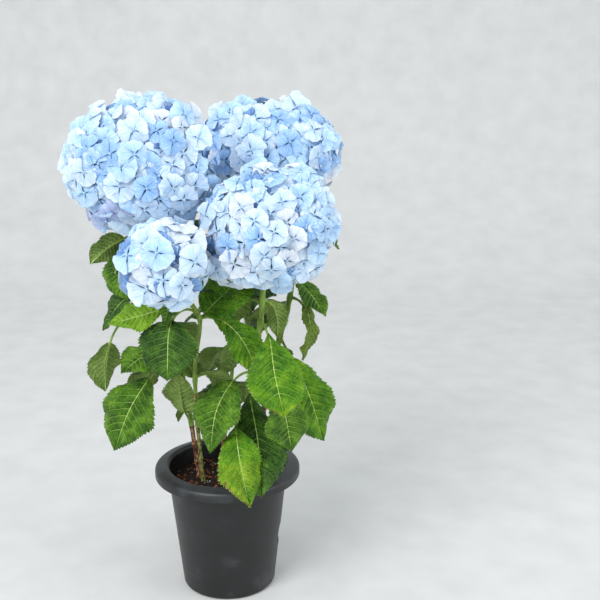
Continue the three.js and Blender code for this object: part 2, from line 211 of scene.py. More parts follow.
def tube(first, ring, rows):
    """Faces of a closed tube of rows of points, numbered from its first: its side, then a cap at each end."""
    last = first + (rows - 1) * ring
    faces = []
    for low in range(first, last, ring):
        for i in range(ring):
            j = (i + 1) % ring
            faces.append((low + i, low + j, low + ring + j, low + ring + i))
    return faces + [tuple(range(first + ring - 1, first - 1, -1)), tuple(range(last, last + ring))]


def wall_radius(z):
    """The outer radius of the pot's wall at a height."""
    rise = (z - POT["foot_round"]) / (POT["height"] - POT["flange_drop"] - POT["foot_round"])
    return POT["base_radius"] + (POT["neck_radius"] - POT["base_radius"]) * rise


def wall_heights(low, steps=8):
    """Heights up a wall, with a close pair at the vent's ledge."""
    spans = [
        (POT["foot_round"], low - VENT["ledge"]),
        (low, VENT["high"]),
        (VENT["high"] + VENT["fade"], POT["height"] - POT["flange_drop"]),
    ]
    return [z for start, end in spans for z in np.linspace(start, end, steps)]


def press_vent(points, low, inner):
    """Presses the vent into the part of a body's wall that lies outside an offset from the pot's wall."""
    radius, z = np.hypot(points[:, 0], points[:, 1]), points[:, 2]
    across = (np.degrees(np.arctan2(points[:, 1], points[:, 0])) - VENT["turn"]) / VENT["reach"]
    pressed = (z >= low) & (z <= VENT["high"]) & (np.abs(across) < 1) & (radius > wall_radius(z) + inner)
    depth = VENT["depth"] * (VENT["high"] - z) / (VENT["high"] - low) * (1 - across ** 4)
    points[:, :2] *= np.where(pressed, 1 - depth / np.maximum(radius, 1), 1)[:, None]


rim, top, wall = POT["rim_radius"], POT["height"], POT["wall"]
flange = top - POT["flange_drop"]
lip = top - POT["skirt_drop"] + POT["lip_round"]
foot_round, edge_round, neck_round = POT["foot_round"], POT["edge_round"], POT["neck_round"]
inner_foot = VENT["low"] - wall
outside = [
    (DRAIN["circle"], 0),
    *arc((POT["base_radius"] - foot_round, foot_round), foot_round, -90, -8, 6),
    *[(wall_radius(z), z) for z in wall_heights(VENT["low"])],
]
profile = [
    (0, 0),
    *outside,
    (rim - wall - POT["bevel"], flange - wall),
    (rim - wall, flange - wall - POT["bevel"]),
    (rim - wall, lip),
    *arc((rim - wall / 2, lip), wall / 2, 180, 360, 8),
    *arc((rim - edge_round, top - wall - edge_round), edge_round, 0, 80, 8),
    *arc((POT["neck_radius"] + wall, top - neck_round), neck_round, 88, 178, 8),
    *[(wall_radius(z) - wall, z) for z in reversed(wall_heights(inner_foot)[1:])],
    (POT["base_radius"] - wall - POT["floor_round"], POT["floor"]),
    (0, POT["floor"]),
]
points, faces = revolve(profile, POT["segments"])
outer_count = 1 + len(outside) * POT["segments"]
press_vent(points[:outer_count], VENT["low"], -wall)
press_vent(points[outer_count:], inner_foot, -2 * wall)

# The pot's plastic is satin moulded polypropylene: near black and finely grained, with a painted highlight
# that greys it up on the rim
pot_plastic, tree, shader = new_material("satin_polypropylene", roughness=0.42, ior=1.49)
spot = add_node(tree, "ShaderNodeTexCoord")
height = add_node(tree, "ShaderNodeSeparateXYZ", {"Vector": spot.outputs["Object"]})
# Painted highlight: the colour turns paler grey from the skirt's foot up to the top of the rim
dust = add_node(tree, "ShaderNodeMapRange", {
    "Value": height.outputs["Z"],
    "From Min": (POT["height"] - POT["skirt_drop"]) * MM,
    "From Max": POT["height"] * MM,
    "To Max": 0.26,
})
dusty = add_node(tree, "ShaderNodeMath", {0: grain(tree, 34, 6), 1: dust}, operation="ADD")
mottle(tree, shader, dusty, ["#131313", "#161616", "#1b1b1c", "#34373a"], 0.25)
rough_up(tree, shader, grain(tree, 0.9, 2), 0.035)

# The slot in the vent's ledge and the drain holes are cut by drills. Each is an outline, raised between two
# heights and turned round the pot
slot_in = wall_radius(VENT["low"]) - VENT["depth"]
slot_corners = ((-1, -1), (1, -1), (1, 1), (-1, 1))
slot = [(slot_in + x * 2 * wall, y * VENT["slot_width"] / 2) for x, y in slot_corners]
turns = 2 * math.pi * np.arange(DRAIN["sides"]) / DRAIN["sides"]
hole = [(DRAIN["circle"] + DRAIN["radius"] * math.cos(a), DRAIN["radius"] * math.sin(a)) for a in turns]
drills = [(slot, VENT["low"], VENT["low"] + VENT["slot"], math.radians(VENT["turn"]))]
for i in range(DRAIN["count"]):
    drills.append((hole, -POT["floor"], 2 * POT["floor"], 2 * math.pi * i / DRAIN["count"]))
drill_points, drill_faces = [], []
for outline, low, high, turn in drills:
    drill_faces += tube(len(drill_points), len(outline), 2)
    drill_points += [(*turned(x, y, turn), z) for z in (low, high) for x, y in outline]

pot = mesh_piece("moulded_pot", points, faces, [pot_plastic])
drill = mesh_piece("drill", drill_points, drill_faces, [])
cut = pot.modifiers.new("drill", "BOOLEAN")
cut.object = drill
cut.solver = "EXACT"
settle(pot)
bpy.data.objects.remove(drill)
pot.data.shade_smooth()
pot.data.set_sharp_from_angle(angle=math.radians(POT["crisp"]))
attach(pot, "root")
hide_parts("pot")


# Potting soil: dark peat and composted bark, filled to 22 mm under the rim and settled into crumbs, with
# reddish bark chips and a few white grains of perlite lying loose on it.
SOIL = {"top": 138, "clear": 0.6, "gap": 0.3, "brim": 4, "dish": 3, "crown": 0.8, "segments": 120,
        "rings": 40}
# How high and how wide the lumps of its top are, and which slice of the noise makes them
LUMPS = ((2.2, 14, 3), (1.3, 5, 9))
# How many crumbs lie on a square metre, their smallest and largest scale and the seed of their places. Then
# how long, wide and thick one is at scale 1, how many shapes there are, and the seed of the first
CRUMBS = {
    "bark": (12000.0, 1.8, 6.4, 11, (1.6, 1.0, 0.45), 6, 20),
    "perlite": (4600.0, 0.9, 2.3, 12, (1.1, 1.0, 0.8), 3, 40),
}
CRUMB_FACING = 0.6


def soil_radius(z):
    """The soil's radius at a height, just clear of the wall."""
    return wall_radius(z) - wall - SOIL["clear"]


edge = soil_radius(SOIL["top"])
bottom = POT["floor"] + SOIL["gap"]
ledge = inner_foot - SOIL["clear"]
brim = SOIL["top"] - SOIL["brim"]
profile = [(0, bottom), (soil_radius(foot_round), bottom)]
profile += [(soil_radius(z), z) for z in wall_heights(ledge) if z < brim]
profile += [(edge * r, SOIL["top"]) for r in np.linspace(1, 0, SOIL["rings"])]
points, faces = revolve(profile, SOIL["segments"])
press_vent(points, ledge, -wall - 2 * SOIL["clear"])
for row in np.nonzero(points[:, 2] > brim)[0]:
    x, y = points[row, :2]
    lumps = sum(high * noise.noise(Vector((x, y, at)) / wide) for high, wide, at in LUMPS)
    points[row, 2] += lumps + SOIL["crown"] - SOIL["dish"] * (math.hypot(x, y) / edge) ** 2

# Moist peat scatters almost no light, and its crumbs are 1 to 4 mm across
peat = grained_material(
    "moist_peat", ["#0e0805", "#1a0f0a", "#26160f", "#3c2216"], 0.2, (4, 5), (2.2, 5), 1.6,
    roughness=0.92, ior=1.4,
)
# Composted bark is reddish brown, fibrous and matt
bark_chip = grained_material(
    "composted_bark", ["#24110a", "#4e2513", "#844623", "#b87444"], 0.2, (3, 4), (0.8, 3, (1, 1, 0.3)), 0.4,
    roughness=0.85, ior=1.5,
)
# Perlite is a white, matt, glassy foam
perlite = grained_material(
    "perlite_foam", ["#b9b2a5", "#e6e2d8", "#f4f2ec"], 0.2, (1, 3), (0.5, 3), 0.2, roughness=0.75, ior=1.45,
)


def ball_corners():
    """The 12 corners of an icosahedron on a ball of radius 1."""
    golden = (1 + math.sqrt(5)) / 2
    long, short = golden / math.hypot(1, golden), 1 / math.hypot(1, golden)
    flat = [(s * short, t * long, 0) for s in (1, -1) for t in (1, -1)]
    return flat + [(0, x, y) for x, y, _ in flat] + [(y, 0, x) for x, y, _ in flat]


def ball_faces(corners):
    """The 20 faces of an icosahedron from its corners, each turned to face outwards."""
    found = []
    for i, j, k in itertools.combinations(range(12), 3):
        a, b, c = (Vector(corners[n]) for n in (i, j, k))
        if max((a - b).length, (b - c).length, (c - a).length) < 1.1:
            out = (b - a).cross(c - a).dot(a + b + c) > 0
            found.append((i, j, k) if out else (i, k, j))
    return found


def crumb(name, size, seed):
    """One crumb: a ball of 20 faces pulled out of round, as long, wide and thick as the size says."""
    corners = ball_corners()
    stretch = np.random.default_rng(seed).uniform(0.75, 1.2, (12, 1))
    points = np.array(corners) * stretch * np.array(size) / 2
    return bpy.data.objects.new(name, new_mesh(name, points, [], ball_faces(corners)))


def new_tree(name, sockets):
    """A Geometry Nodes tree with geometry in and out and these named inputs, and the sockets they feed."""
    tree = bpy.data.node_groups.new(name, "GeometryNodeTree")
    for socket, kind in {"Geometry": "Geometry", **sockets}.items():
        tree.interface.new_socket(name=socket, in_out="INPUT", socket_type="NodeSocket" + kind)
    tree.interface.new_socket(name="Geometry", in_out="OUTPUT", socket_type="NodeSocketGeometry")
    return tree, add_node(tree, "NodeGroupInput").outputs


def end_tree(tree, made, material):
    """Ends a tree: what it made becomes real geometry of one material, and is handed out."""
    whole = add_node(tree, "GeometryNodeRealizeInstances", {"Geometry": made})
    painted = add_node(tree, "GeometryNodeSetMaterial", {"Geometry": whole, "Material": material})
    add_node(tree, "NodeGroupOutput", {"Geometry": painted})
    return tree


def grow(piece, tree, **values):
    """Runs a tree on a piece, with its named inputs set, and keeps the result as the piece's plain mesh."""
    modifier = piece.modifiers.new(tree.name, "NODES")
    modifier.node_group = tree
    for item in tree.interface.items_tree:
        if item.in_out == "INPUT" and item.name.lower() in values:
            modifier[item.identifier] = values[item.name.lower()]
    settle(piece)


def choice_of(tree, shapes):
    """A node that joins some shapes, for points to pick one from."""
    choice = add_node(tree, "GeometryNodeJoinGeometry")
    for shape in shapes:
        info = add_node(tree, "GeometryNodeObjectInfo", {"Object": shape, "As Instance": True})
        tree.links.new(info.outputs["Geometry"], choice.inputs["Geometry"])
    return choice


def scatter_tree(name, shapes):
    """A tree that lays crumbs of several shapes over the upward faces of a mesh."""
    sockets = {"Density": "Float", "Spacing": "Float", "Smallest": "Float", "Largest": "Float", "Seed": "Int"}
    tree, given = new_tree(name, {**sockets, "Material": "Material"})
    up = add_node(tree, "ShaderNodeSeparateXYZ", {"Vector": add_node(tree, "GeometryNodeInputNormal")})
    upward = {"A": up.outputs["Z"], "B": CRUMB_FACING}
    spread = add_node(tree, "GeometryNodeDistributePointsOnFaces", {
        "Mesh": given["Geometry"],
        "Selection": add_node(tree, "FunctionNodeCompare", upward, operation="GREATER_THAN"),
        "Distance Min": given["Spacing"],
        "Density Max": given["Density"],
        "Seed": given["Seed"],
    }, distribute_method="POISSON")
    pick = add_node(tree, "FunctionNodeRandomValue", {4: 0, 5: len(shapes) - 1}, data_type="INT")
    swing = {0: (-0.5, -0.5, -math.pi), 1: (0.5, 0.5, math.pi)}
    size = add_node(tree, "FunctionNodeRandomValue", {2: given["Smallest"], 3: given["Largest"]})
    placed = add_node(tree, "GeometryNodeInstanceOnPoints", {
        "Points": spread,
        "Instance": choice_of(tree, shapes),
        "Pick Instance": True,
        "Instance Index": pick.outputs[2],
        "Rotation": add_node(tree, "FunctionNodeRandomValue", swing, data_type="FLOAT_VECTOR"),
        "Scale": size.outputs[1],
    })
    return end_tree(tree, placed, given["Material"])


soil = mesh_piece("peat_bed", points, faces, [peat])
for name, material in (("bark", bark_chip), ("perlite", perlite)):
    density, smallest, largest, seed, build, count, first = CRUMBS[name]
    shapes = [crumb(f"{name}_{i}", build, first + i) for i in range(count)]
    piece = in_scene(f"{name}_crumbs", soil.data.copy())
    sizes = {"spacing": smallest * MM, "smallest": smallest, "largest": largest}
    scatter = scatter_tree(f"Scatter {name}", shapes)
    grow(piece, scatter, density=density, seed=seed, material=material, **sizes)
    for shape in shapes:
        bpy.data.objects.remove(shape)
    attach(piece, "root")
    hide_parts("soil")
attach(soil, "root")
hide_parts("soil")


# Canes: five woody canes, each from a flared foot in the soil to where its green growth starts. Young
# hydrangea bark is tan, papery and finely split lengthwise, with pale pores and a ring at each old joint.
# The skin of canes and stems is split by this relief, with so many ridges in a metre
CANE = {"sunk": 6, "flare": 4.0, "flare_rise": 10, "foot": 2.8, "tip": 3.1, "over": 0.5, "spacing": 1.5,
        "lowest_joint": 12, "sides": 20, "step": 1.0, "relief": 1.1, "ridge": 900.0}
STEM = {"foot": 3.2, "tip": 2.9, "under": 0.5, "over": 1, "spacing": 2.0, "sides": 12, "step": 1.4,
        "relief": 0.35, "ridge": 700.0}
JOINT = {"swell": 0.8, "reach": 3.2, "spacing": 23}


def leaf(height, turn, stalk, length, rise, fall, roll=0, width=0.66, tint="mid", widest=0.45, sway=0,
         turned=2):
    """One leaf: the height of its joint on the stem, the way it points (0 is +X and 90 is the back), its
    stalk and blade lengths, the slope it starts and ends with, its roll about its midrib, its width share,
    its tint, where it is widest, how far it sways round by its tip, and where it turns yellow."""
    return dict(locals())


# Each shoot follows one curve from the soil up, and on to the middle of its bloom. Below `bare` it is the
# woody cane, and above it the leafy stem. Its girth is its share of the full thickness. A bloom's size is its
# half width, half depth and half height, and it bulges or dips by some shares of that in some directions.
# Leaves with the first tint of TINTS carry painted shade, and those with the third carry painted light
SHOOTS = [{
    "name": "left",
    "girth": 0.9,
    "path": [(-36, 4, SOIL["top"]), (-49, 8, 240), (-66, 0, 350), (-83, -15, 452)],
    "bare": 205,
    "end": 462,
    "bloom": {"centre": (-96, -20, 530), "size": (88, 82, 83), "florets": 210, "floret": 17.5, "seed": 11},
    "bulges": [
        ((0.76, -0.15, 0.63), 0.13),
        ((0.8, -0.15, -0.58), 0.1),
        ((-0.6, -0.1, 0.79), -0.08),
        ((-0.74, -0.1, -0.66), -0.14),
    ],
    "leaves": [
        leaf(449, -165, 32, 50, 20, -45, 50, 0.8, "deep"),
        leaf(449, -158, 26, 42, 14, -72, 30, 0.6, "deep"),
        leaf(444, 17, 21, 48, 32, 5, 0, 0.7, "deep", sway=9),
        leaf(438, 95, 16, 70, 25, -50),
        leaf(434, -160, 44, 52, 40, -110, -50, 0.84),
        leaf(408, 128, 18, 74, 20, -55, tint="deep"),
        leaf(381, -170, 41, 56, 25, -62, -25, 0.78, "deep"),
        leaf(357, -165, 91, 62, 24, -90, 45, 0.85, "olive", sway=-8),
        leaf(330, 92, 24, 84, 15, -60),
        leaf(312, -143, 20, 60, 5, -28, -10, 0.9),
        leaf(300, -145, 47, 96, -20, -66, -20, 0.8, widest=0.52),
        leaf(280, 140, 30, 86, 20, -65, tint="deep"),
        leaf(208, -112, 20, 62, 50, 78, 0, 0.74, "olive"),
    ],
}, {
    "name": "front",
    "girth": 0.8,
    "path": [(-30, -8, SOIL["top"]), (-34, -26, 230), (-33, -38, 300), (-26, -42, 357), (-38, -66, 388)],
    "bare": 262,
    "end": 396,
    "bloom": {"centre": (-57, -108, 439), "size": (49, 47, 51), "florets": 48, "floret": 20.5, "seed": 23},
    "bulges": [((-0.8, -0.2, -0.57), -0.1)],
    "leaves": [
        leaf(388, -150, 10, 42, 30, -94, 0, 0.86),
        leaf(378, -167, 35, 61, -4, -14, -35, 0.68, "lime"),
        leaf(384, 75, 16, 60, 20, -20, tint="deep"),
        leaf(356, 18, 8, 80, 48, 41, 30, 1.0, "bright", sway=4),
        leaf(357, -138, 53, 71, 63, -97, 0, 1.02, "deep", sway=49),
        leaf(358, -18, 17, 92, 16, -73, 40, 0.44, "bright", 0.56),
        leaf(278, 120, 4, 30, 60, 20, 0, 1.0, "olive"),
        leaf(284, 20, 4, 46, 30, -50, -30, 0.8, "olive"),
    ],
}, {
    "name": "right",
    "girth": 1.1,
    "path": [(16, 2, SOIL["top"]), (26, -12, 238), (33, -20, 284), (44, -30, 350), (49, -36, 400)],
    "bare": 218,
    "end": 408,
    "bloom": {"centre": (60, -58, 468), "size": (78, 70, 74), "florets": 165, "floret": 17, "seed": 37},
    "bulges": [((-0.83, -0.2, -0.5), 0.16), ((0.72, -0.1, -0.69), -0.08)],
    "leaves": [
        leaf(378, 42, 8, 54, -14, -94, -40, 0.5, "deep", sway=4),
        leaf(376, 95, 8, 56, 14, -26, tint="deep"),
        leaf(372, 149, 17, 58, 29, -74, 0, 0.95, "deep", sway=-8),
        leaf(352, -72, 32, 102, -4, -66, 0, 0.66, "bright", 0.66, turned=0.98),
        leaf(332, 150, 20, 66, -5, -75, tint="deep"),
        leaf(284, -127, 36, 91, 19, -77, 0, 0.7, sway=5),
        leaf(288, -41, 53, 67, 1, -82, 0, 0.95, sway=-9),
        leaf(262, -83, 7, 127, -35, -66, 0, 0.5, "deep", 0.62, 13),
        leaf(226, -112, 61, 97, 41, -76, 0, 0.58, "bright", 0.56, 72, turned=0.52),
    ],
}, {
    "name": "rear",
    "girth": 1.1,
    "path": [(28, 20, SOIL["top"]), (47, 15, 230), (65, 13, 314), (80, 16, 380), (76, 52, 436)],
    "bare": 236,
    "end": 476,
    "bloom": {"centre": (55, 100, 534), "size": (90, 76, 67), "florets": 195, "floret": 17.5, "seed": 53},
    "bulges": [((-0.72, -0.1, 0.68), 0.08), ((0.72, -0.1, 0.68), 0.06)],
    "leaves": [
        leaf(446, 30, 16, 74, 20, -50),
        leaf(446, 160, 16, 70, 15, -50, tint="deep"),
        leaf(418, 100, 16, 80, 5, -60),
        leaf(388, -43, 10, 58, 0, -50, 0, 0.6),
        leaf(368, -37, 22, 76, 5, -118, 0, 0.42, "olive"),
        leaf(350, -168, 16, 66, 8, -78, 0, 0.85, "deep"),
        leaf(352, 118, 20, 84, 15, -60, tint="deep"),
        leaf(318, -58, 30, 112, -34, -76, 35, 0.56, "bright", 0.6, 66),
        leaf(296, 96, 24, 90, 10, -65),
        leaf(256, 88, 26, 84, 20, -55, tint="bright"),
    ],
}, {
    "name": "low",
    "girth": 0.8,
    "path": [(-13, 21, SOIL["top"]), (0, 52, 220), (6, 68, 300), (8, 78, 350)],
    "bare": 200,
    "end": 344,
    "leaves": [
        leaf(340, -35, 4, 62, 40, 10, 40, 0.7, "deep"),
        leaf(336, 165, 14, 66, 30, -45),
        leaf(336, 110, 12, 60, 50, 0, tint="deep"),
        leaf(278, 120, 22, 84, 20, -60),
        leaf(232, 95, 24, 88, 20, -65, tint="deep"),
        leaf(232, 160, 22, 78, 15, -60, 0, 0.66, "deep"),
    ],
}]


def cubic_through(path, count=1600):
    """Points along the centripetal Catmull-Rom curve through a path, as the solids' curves run."""
    path = np.array(path, float)
    path = np.vstack([2 * path[0] - path[1], path, 2 * path[-1] - path[-2]])
    spans = len(path) - 3
    points = []
    for place in np.linspace(0, spans, count):
        k = min(int(place), spans - 1)
        p0, p1, p2, p3 = path[k:k + 4]
        d0, d1, d2 = (math.sqrt(np.linalg.norm(b - a)) for a, b in ((p0, p1), (p1, p2), (p2, p3)))
        leave = ((p1 - p0) / d0 - (p2 - p0) / (d0 + d1) + (p2 - p1) / d1) * d1
        arrive = ((p2 - p1) / d1 - (p3 - p1) / (d1 + d2) + (p3 - p2) / d2) * d1
        w = place - k
        bend = (-3 * p1 + 3 * p2 - 2 * leave - arrive) * w * w
        bend += (2 * p1 - 2 * p2 + leave + arrive) * w ** 3
        points.append(p1 + leave * w + bend)
    return np.array(points)


def at_heights(curve, heights):
    """The curve's points at the heights given, as every shoot only rises."""
    flat = [np.interp(heights, curve[:, 2], curve[:, axis]) for axis in (0, 1)]
    return np.column_stack(flat + [heights])


def point_at(shoot, height):
    """The point on a shoot's curve at a height."""
    return at_heights(shoot["curve"], np.array([float(height)]))[0]


def swellings(heights, joints):
    """How much the joints at some heights widen a stem at other heights."""
    away = (np.asarray(heights)[:, None] - np.asarray(joints)[None, :]) / JOINT["reach"]
    return JOINT["swell"] * np.exp(-away ** 2).max(axis=1)


def limbs_tree():
    """A tree that sweeps a round section along each wire and splits its skin into lengthwise ridges."""
    sockets = {"Sides": "Int", "Step": "Float", "Relief": "Float", "Ridge": "Float", "Material": "Material"}
    tree, given = new_tree("Limbs", sockets)
    wires = add_node(tree, "GeometryNodeMeshToCurve", {"Mesh": given["Geometry"]})
    steps = {"Curve": wires, "Length": given["Step"]}
    section = {"Resolution": given["Sides"], "Radius": 1.0}
    skin = add_node(tree, "GeometryNodeCurveToMesh", {
        "Curve": add_node(tree, "GeometryNodeResampleCurve", steps, mode="LENGTH"),
        "Profile Curve": add_node(tree, "GeometryNodeCurvePrimitiveCircle", section),
        "Scale": add_node(tree, "GeometryNodeInputNamedAttribute", {"Name": "girth"}, data_type="FLOAT"),
        "Fill Caps": True,
    })
    long = {0: add_node(tree, "GeometryNodeInputPosition"), 1: (1, 1, 0.12)}
    long = add_node(tree, "ShaderNodeVectorMath", long, operation="MULTIPLY")
    ridges = add_node(tree, "ShaderNodeTexNoise", {"Vector": long, "Scale": given["Ridge"], "Detail": 2.0})
    height = add_node(tree, "ShaderNodeMath", {0: ridges, 1: 0.5}, operation="SUBTRACT")
    height = add_node(tree, "ShaderNodeMath", {0: height, 1: given["Relief"]}, operation="MULTIPLY")
    out = {0: add_node(tree, "GeometryNodeInputNormal"), "Scale": height}
    out = add_node(tree, "ShaderNodeVectorMath", out, operation="SCALE")
    split = add_node(tree, "GeometryNodeSetPosition", {"Geometry": skin, "Offset": out})
    smooth = add_node(tree, "GeometryNodeSetShadeSmooth", {"Geometry": split})
    return end_tree(tree, smooth, given["Material"])


limb_tree = limbs_tree()


def limb_piece(name, limbs, style, material):
    """A piece of tapering limbs in a style. Each is its points in millimetres and its radius at each."""
    points, wires, girths = [], [], []
    for path, girth in limbs:
        first = len(points)
        points += list(path)
        wires += [(i, i + 1) for i in range(first, len(points) - 1)]
        girths += list(girth)
    mesh = new_mesh(name, points, wires, [])
    girths = (np.array(girths) * MM).astype(np.float32)
    mesh.attributes.new("girth", "FLOAT", "POINT").data.foreach_set("value", girths)
    piece = in_scene(name, mesh)
    sizes = {"sides": style["sides"], "step": style["step"] * MM, "relief": style["relief"] * MM}
    grow(piece, limb_tree, ridge=style["ridge"], material=material, **sizes)
    return piece


# Cane bark is papery and matt, flecked with pale pores and split lengthwise by less than a millimetre. On a
# young cane it is still thin and green
BARK_CODES = {
    "papery_cane_bark": ["#2e1812", "#643a2a", "#94674a", "#c6a582"],
    "thin_green_bark": ["#4c3c22", "#6f6a34", "#8c8f48", "#aab070"],
}
barks = {}
for name, codes in BARK_CODES.items():
    barks[name] = grained_material(
        name, codes, 0.17, (2.6, 4, (1, 1, 0.55)), (1.1, 4, (1, 1, 0.3)), 0.5, roughness=0.78, ior=1.45,
    )

for shoot in SHOOTS:
    bloom_centre = [shoot["bloom"]["centre"]] if "bloom" in shoot else []
    shoot["curve"] = cubic_through(shoot["path"] + bloom_centre)
    heights = np.arange(SOIL["top"] - CANE["sunk"], shoot["bare"] + CANE["over"], CANE["spacing"])
    above = np.maximum(heights, SOIL["top"])
    share = (above - SOIL["top"]) / (shoot["bare"] - SOIL["top"])
    flare = np.maximum(0, 1 - (above - SOIL["top"]) / CANE["flare_rise"]) ** 2
    girth = CANE["foot"] + (CANE["tip"] - CANE["foot"]) * share + (CANE["flare"] - CANE["foot"]) * flare
    joints = np.arange(shoot["bare"], SOIL["top"] + CANE["lowest_joint"], -JOINT["spacing"])
    girth = girth * shoot["girth"] + swellings(heights, joints)
    spine = at_heights(shoot["curve"], above)
    spine[:, 2] = heights
    bark = barks["thin_green_bark" if shoot["name"] == "front" else "papery_cane_bark"]
    piece = limb_piece("bark_" + shoot["name"], [(spine, girth)], CANE, bark)
    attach(piece, "root")
    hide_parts("cane_" + shoot["name"])


# Green stems and leaf stalks: this year's growth, smooth, juicy and round, a little swollen where a pair of
# leaves joins. A stalk clasps the stem with a wide foot and runs on under the blade as its midrib.
STALK = {"foot": 1.7, "tip": 1.3, "clasp": 2.6, "clasp_reach": 7, "rib_tip": 0.35, "rib_reach": 0.8,
         "sink": 12, "depth": 0.95, "points": 46}
# The solid's steps along a leaf, and how far and how finely a walk goes here
WALK = {"solid_steps": 24, "overrun": 1.05, "points": 421}


def leaf_walk(root, one):
    """The path of a leaf from its stem, as a function of the distances along it: its points, and there the
    ways across it and up from its face. It bends most at first. Each of the solid's steps keeps the slope it
    starts with, so this walk runs half a step behind too."""
    total = one["stalk"] + one["length"]
    fine = np.linspace(0, WALK["overrun"], WALK["points"])
    roll = math.radians(one["roll"])

    def ways_at(share):
        left = 1 - np.clip(share, 0, 1)
        slope = np.radians(one["rise"] + (one["fall"] - one["rise"]) * (1 - left * left))
        turn = np.radians(one["turn"] + one["sway"] * share)
        along = [np.cos(turn) * np.cos(slope), np.sin(turn) * np.cos(slope), np.sin(slope)]
        across = [-np.sin(turn), np.cos(turn), np.zeros(len(share))]
        return np.column_stack(along), np.column_stack(across)

    steps = ways_at(fine[:-1] + fine[1] / 2 - 0.5 / WALK["solid_steps"])[0] * fine[1] * total
    line = root + np.vstack([np.zeros(3), np.cumsum(steps, axis=0)])

    def walk(distances):
        share = np.asarray(distances, float) / total
        points = np.column_stack([np.interp(share, fine, line[:, axis]) for axis in range(3)])
        along, across = ways_at(share)
        side = across * math.cos(roll) + np.cross(along, across) * math.sin(roll)
        return points, side, np.cross(along, side)

    return walk


# Green stem skin is waxy and takes a soft shine. It is mottled and finely lined lengthwise
green_stem = grained_material(
    "waxy_green_stem", ["#4f5a26", "#6f8a34", "#86a843", "#9cba57"], 0.25,
    (3.5, 5, (1, 1, 0.2)), (1.3, 3, (1, 1, 0.2)), 0.15, roughness=0.45, ior=1.42,
)

for shoot in SHOOTS:
    joints = sorted({one["height"] for one in shoot["leaves"]})
    heights = np.arange(shoot["bare"] - STEM["under"], shoot["end"] + STEM["over"], STEM["spacing"])
    share = (heights - shoot["bare"]) / (shoot["end"] - shoot["bare"])
    girth = (STEM["foot"] + (STEM["tip"] - STEM["foot"]) * share) * shoot["girth"]
    limbs = [(at_heights(shoot["curve"], heights), girth + swellings(heights, joints))]
    for one in shoot["leaves"]:
        one["walk"] = leaf_walk(point_at(shoot, one["height"]), one)
        reach = one["stalk"] + STALK["rib_reach"] * one["length"]
        distances = np.linspace(0, reach, STALK["points"])
        points, _, up = one["walk"](distances)
        stalk_share = np.clip(distances / one["stalk"], 0, 1)
        rib_share = np.clip((distances - one["stalk"]) / (reach - one["stalk"]), 0, 1)
        girth = STALK["foot"] + (STALK["tip"] - STALK["foot"]) * stalk_share
        girth += (STALK["clasp"] - STALK["foot"]) * np.exp(-(distances / STALK["clasp_reach"]) ** 2)
        girth += (STALK["rib_tip"] - STALK["tip"]) * rib_share ** 0.6
        sunk = np.clip((distances - one["stalk"] + STALK["sink"] / 2) / STALK["sink"], 0, 1)
        limbs.append((points - up * (sunk * (girth + STALK["depth"]))[:, None], girth))
    piece = limb_piece("stems_" + shoot["name"], limbs, STEM, green_stem)
    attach(piece, "root")
    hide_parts("shoot_" + shoot["name"])


# Leaves: ovate blades with a toothed edge, half a millimetre thick. The midrib and eight pairs of side veins
# are sunk and pale above, and the blade swells between them. The underside is paler, and its veins stand out.
# Widths and depths are in millimetres, twist and crisp in degrees, and the rest counts or shares of the blade
BLADE = {
    "thickness": 0.5, "ends": (0.004, 0.996), "reach": (0.002, 0.998),
    "veins": 8, "first": 0.08, "span": 0.74, "before": 2, "between": 4, "beyond": 7,
    "columns": (1, 0.93, 0.8, 0.64, 0.48, 0.32, 0.17), "sweep": 0.25, "sweep_bend": 1.15,
    "tooth": 2.8, "teeth_grow": 0.12, "teeth_fade": 0.08,
    "vein": 0.62, "vein_taper": 0.85, "midrib": 0.75, "midrib_taper": 0.6, "midrib_most": 0.12,
    "fold": 0.14, "droop": 0.12, "quilt": 0.026, "groove": 0.9, "twist": 14, "bow": 0.035,
    "wave": 0.06, "waves": 1.6, "ripple": 0.35, "ripples": 4.1, "uneven": 0.06, "uneven_waves": 1.3,
    "crisp": 80,
}
# The tints that the plant's leaves have: the colours of the blade and of its veins. The first is the green
# darkened as painted shade for leaves deep in the plant, and the third the green lightened as painted light
# for leaves in the sun. The last two are for every underside and for the brown spots where a leaf has turned
TINTS = {
    "deep": (["#1c3c0a", "#3a6014", "#608c2c"], "#6a9244"),
    "mid": (["#284e0a", "#507c16", "#82a834"], "#8eb04c"),
    "bright": (["#306208", "#588a0e", "#88ae20"], "#92b840"),
    "turning": (["#4a780c", "#749a16", "#a2ba30"], "#a4bc4c"),
    "lime": (["#5e8a16", "#7ca624", "#9cc040"], "#b2cc58"),
    "olive": (["#526c20", "#6a842c", "#829a3a"], "#98ae56"),
    "under": (["#6f8c40", "#86a250", "#9bb362"], "#adc276"),
    "spot": (["#5c4a1c", "#73602a", "#8a7838"], "#8a7838"),
}
# The sizes of the net of finest veins and of the darker patches
NET, PATCH = 4.5, 16
# How much sooner a blade turns yellow at its edge, and where and how often a yellow edge has a brown spot
YELLOW = {"edge": 0.28, "spots": (0.4, 0.92), "spot_share": 0.3}
LEAF_SEED, FLORET_SEED = 100, 60

